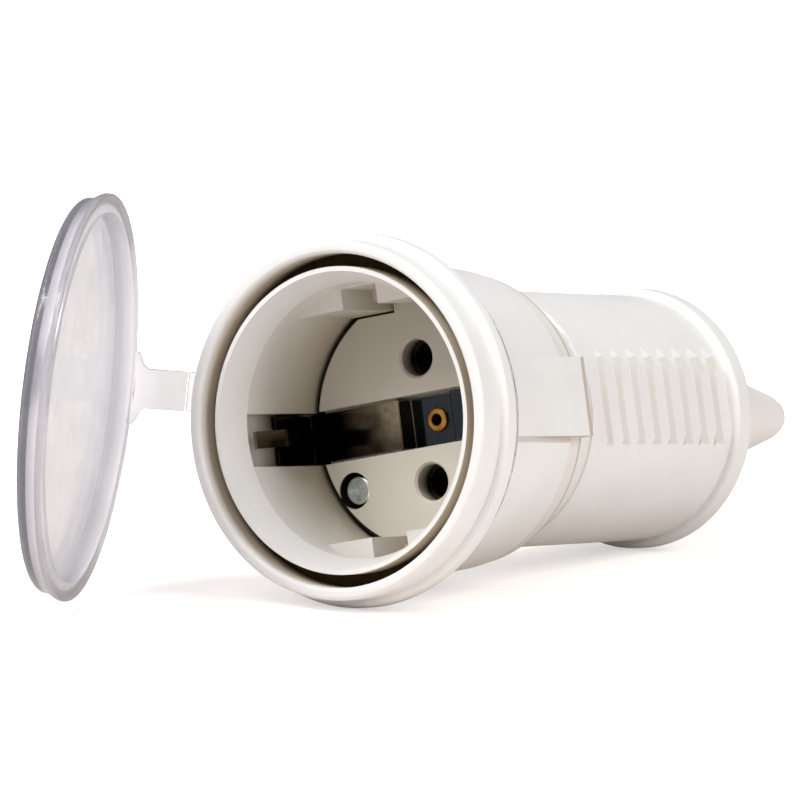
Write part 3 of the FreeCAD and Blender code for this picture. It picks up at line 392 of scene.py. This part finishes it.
# Pin contacts: drawn sleeves of copper alloy with their blocks, browned; they sit behind the
# pin holes and show only as dark bores.
bronze_finish, *_ = metal_finish(
    "browned_bronze", (0.10, 0.072, 0.042, 1), (0.045, 0.03, 0.018, 1), streaks=1400.0, low=0.4, high=0.6)
for name in ("line_contact", "neutral_contact"):
    node[name].material_slots[0].material = bronze_finish

# Screws and nuts: steel, cold headed, with a bright zinc plate that has dulled unevenly.
# They clamp the wires, the carrier and the cord.
zinc_finish, *_ = metal_finish(
    "bright_zinc", (0.93, 0.97, 0.96, 1), (0.62, 0.68, 0.68, 1), streaks=1800.0, low=0.10, high=0.28)
for name in ("terminal_screws", "insert_screws", "cord_clamp_screws", "cord_clamp_nuts"):
    node[name].material_slots[0].material = zinc_finish

# Rear grip: the handle shell, the same warm white plastic as the head, with ribbed sides
# for the fingers. The face screws draw it against the head. The front flanks of the ribs
# carry painted shade, and the upper ends of the ribs carry painted shade and their lower
# ends painted light, so that they fade into the side.
RIB_FRONT = 0.0440
RIB_BACK = 0.0789
RIB_TOP = 0.0094
FLANK_SHADE_LEAN = (0.2, 0.4)
LONG_SIDE_LEAN = (0.35, 0.2)
END_LEAN = (0.53, 0.58)
UPPER_END_SHADE = (0.69, 0.68, 0.665, 1)
LOWER_END_LIGHT = (0.88, 0.87, 0.855, 1)
FLANK_SHADE_TONE = (0.65, 0.615, 0.57, 1)
grip_finish, tree, shader, skin = moulded_finish("grip_plastic", SHELL_TONE, SHELL_SHADE, low=0.4, high=0.52)
depth, _ = along_and_away(tree, MOUTH_AXIS)
upward, _ = along_and_away(tree, PIN_LINE)
up_lean = lean(tree, PIN_LINE)
ribbed = combine(tree, "MULTIPLY", beyond(tree, depth, RIB_FRONT), short_of(tree, depth, RIB_BACK))
rib_ends = combine(tree, "MULTIPLY", short_of(tree, either_side(tree, upward), RIB_TOP), ribbed)
# Painted shade on the upper ends of the ribs and painted light on their lower ends.
upper_end_shade = combine(tree, "MULTIPLY", spread(tree, up_lean, *END_LEAN), rib_ends)
upper_shade_colour = blend_colours(tree, upper_end_shade, skin.outputs["Color"], UPPER_END_SHADE)
lower_end_light = combine(tree, "MULTIPLY", spread(tree, lean(tree, -PIN_LINE), *END_LEAN), rib_ends)
painted_end_colour = blend_colours(tree, lower_end_light, upper_shade_colour, LOWER_END_LIGHT)
# Painted shade on the front flanks of the ribs.
flank_shade = combine(tree, "MULTIPLY", spread(tree, lean(tree, -MOUTH_AXIS), *FLANK_SHADE_LEAN), ribbed,
                spread(tree, either_side(tree, up_lean), *LONG_SIDE_LEAN))
tree.links.new(blend_colours(tree, flank_shade, painted_end_colour, FLANK_SHADE_TONE), shader.inputs["Base Color"])
node["rear_grip"].material_slots[0].material = grip_finish

# Cord grommet: soft white rubber, moulded, pushed through the hole in the grip's back.
# Its skin is more matt than the grip's.
grommet_finish, *_ = moulded_finish("grommet_rubber", (0.88, 0.85, 0.82, 1), (0.84, 0.805, 0.77, 1),
                                    grain=3800.0, low=0.55, high=0.68)
node["cord_grommet"].material_slots[0].material = grommet_finish

# Tether ring and sealing cap: soft clear plastic, moulded as one; the ring is snapped
# behind the flange, and the cap hangs on its strap. Painted shade darkens the cap's thick
# rim, standing for the dark edge seen through it; the thicker strap is tinted a shade denser.
CLEAR_IOR = 1.46
CLEARNESS = 0.8
CLEAR_GRAIN = 700.0
CLEAR_POLISH = (0.10, 0.2)
ring_finish, _, shader, _ = moulded_finish(
    "ring_plastic", (0.92, 0.915, 0.93, 1), (0.88, 0.875, 0.89, 1),
    CLEAR_GRAIN, *CLEAR_POLISH, CLEAR_IOR)
shader.inputs["Transmission Weight"].default_value = CLEARNESS
node["tether_ring"].material_slots[0].material = ring_finish

CAP_RIM = (0.0272, 0.0290)
RIM_FADE = (0.0026, 0.0)
STRAP_START = (0.0302, 0.0308)
STRAP_TONE = (0.70, 0.695, 0.715, 1)
RIM_SHADE_TONE = (0.30, 0.295, 0.345, 1)
hinge = frame["joints"][0]
hinge_place = Vector(hinge["pos_m"])
open_turn = Matrix.Rotation(-math.radians(hinge["range_deg"][0]), 3, Vector(hinge["axis"]))
cap_axis = open_turn @ MOUTH_AXIS
cap_centre = hinge_place + open_turn @ -hinge_place
clear_finish, tree, shader = new_finish("clear_plastic")
skin = place_group(tree, moulded, Tone=(0.80, 0.79, 0.825, 1), Shade=(0.755, 0.745, 0.785, 1),
                   Grain_Scale=CLEAR_GRAIN, Polish_Low=CLEAR_POLISH[0], Polish_High=CLEAR_POLISH[1])
inward, across = along_and_away(tree, cap_axis, cap_centre)
strap_share = spread(tree, across, *STRAP_START)
strap_colour = blend_colours(tree, strap_share, skin.outputs["Color"], STRAP_TONE)
# Painted shade on the cap's rim.
rim_shade_share = combine(tree, "MULTIPLY", spread(tree, across, *CAP_RIM), spread(tree, inward, *RIM_FADE),
                    spread(tree, across, *reversed(STRAP_START)))
tree.links.new(blend_colours(tree, rim_shade_share, strap_colour, RIM_SHADE_TONE), shader.inputs["Base Color"])
tree.links.new(skin.outputs["Roughness"], shader.inputs["Roughness"])
bump(tree, shader, skin.outputs["Height"], strength=0.06, distance=0.00004)
shader.inputs["Transmission Weight"].default_value = CLEARNESS
shader.inputs["IOR"].default_value = CLEAR_IOR
node["sealing_cap"].material_slots[0].material = clear_finish

# Stage: a plain pale sheet of paper under the part. It takes the shadow, and to the camera
# and through the cap it glows up to white away from the part.
FLOOR_HALF = 3.0
PAPER_TONE = (0.90, 0.83, 0.78, 1)
GLOW_REACH = (0.1, 0.35)
GLOW = (0.52, 1.0)
floor_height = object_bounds()[0].z
floor_mesh = bpy.data.meshes.new("floor")
floor_mesh.from_pydata(
    [(-FLOOR_HALF, -FLOOR_HALF, floor_height), (FLOOR_HALF, -FLOOR_HALF, floor_height),
     (FLOOR_HALF, FLOOR_HALF, floor_height), (-FLOOR_HALF, FLOOR_HALF, floor_height)], [], [(0, 1, 2, 3)])
floor = bpy.data.objects.new("floor", floor_mesh)
bpy.context.scene.collection.objects.link(floor)
floor_finish, tree, shader = new_finish("floor_paper")
shader.inputs["Base Color"].default_value = PAPER_TONE
shader.inputs["Roughness"].default_value = 0.9
shader.inputs["Specular IOR Level"].default_value = 0.1
shader.inputs["Emission Color"].default_value = (1, 1, 1, 1)


def seen_directly(tree):
    """One for what the camera sees straight or through the cap."""
    light_path = add_node(tree, "ShaderNodeLightPath")
    return combine(tree, "MAXIMUM", light_path.outputs["Is Camera Ray"],
                   light_path.outputs["Is Transmission Ray"])


from_part = add_node(tree, "ShaderNodeVectorMath", operation="LENGTH")
tree.links.new(add_node(tree, "ShaderNodeTexCoord").outputs["Object"], from_part.inputs[0])
glow = combine(tree, "MULTIPLY", seen_directly(tree),
               spread(tree, from_part.outputs["Value"], *GLOW_REACH, *GLOW))
tree.links.new(glow, shader.inputs["Emission Strength"])
floor_mesh.materials.append(floor_finish)

# Room: even white light from all sides, full white to the camera and through the cap.
# Two square soft boxes, high in front and at the right, model the form.
ROOM_LIGHT = 0.385
world = bpy.data.worlds.new("white_room")
bpy.context.scene.world = world
world.use_nodes = True
tree = world.node_tree
backdrop = tree.nodes["Background"]
backdrop.inputs["Color"].default_value = (1, 1, 1, 1)
tree.links.new(spread(tree, seen_directly(tree), 0.0, 1.0, ROOM_LIGHT, 1.0), backdrop.inputs["Strength"])


def softbox(name, where, aim, width, watts):
    """A square area lamp at a place, turned to the part."""
    lamp = bpy.data.lights.new(name, "AREA")
    lamp.size = width
    lamp.energy = watts
    stand = bpy.data.objects.new(name, lamp)
    stand.location = where
    stand.rotation_euler = (Vector(aim) - Vector(where)).to_track_quat("-Z", "Y").to_euler()
    bpy.context.scene.collection.objects.link(stand)


softbox("top_box", where=(-0.17, -0.53, 0.71), aim=(0, 0.02, 0), width=0.4, watts=6.6)
softbox("side_box", where=(0.72, -0.04, 0.44), aim=(0, 0.03, 0), width=0.4, watts=2.9)

# Camera: far away with a long lens, as for a catalogue picture, a little above the table
# and to the right of the mouth.
AZIMUTH = math.radians(35.0)
ELEVATION = math.radians(6.85)
DISTANCE = 1.0
FOCAL_PIXELS = 6756.0
FRAME_PIXELS = 800.0
SENSOR = 36.0
AIM_RIGHT = 0.00983
AIM_UP = 0.00304
right = Vector((math.cos(AZIMUTH), math.sin(AZIMUTH), 0))
back = Vector((math.sin(AZIMUTH) * math.cos(ELEVATION), -math.cos(AZIMUTH) * math.cos(ELEVATION),
               math.sin(ELEVATION)))
up = back.cross(right)
aim = right * AIM_RIGHT + up * AIM_UP
camera = bpy.data.cameras.new("camera")
camera.sensor_width = SENSOR
camera.lens = SENSOR * FOCAL_PIXELS / FRAME_PIXELS
camera.clip_start = 0.05
camera.clip_end = 20.0
tripod = bpy.data.objects.new("camera", camera)
turned = Matrix((right, up, back)).transposed()
tripod.matrix_world = Matrix.Translation(aim + back * DISTANCE) @ turned.to_4x4()
bpy.context.scene.collection.objects.link(tripod)
bpy.context.scene.camera = tripod
bpy.context.scene.view_settings.view_transform = "Standard"
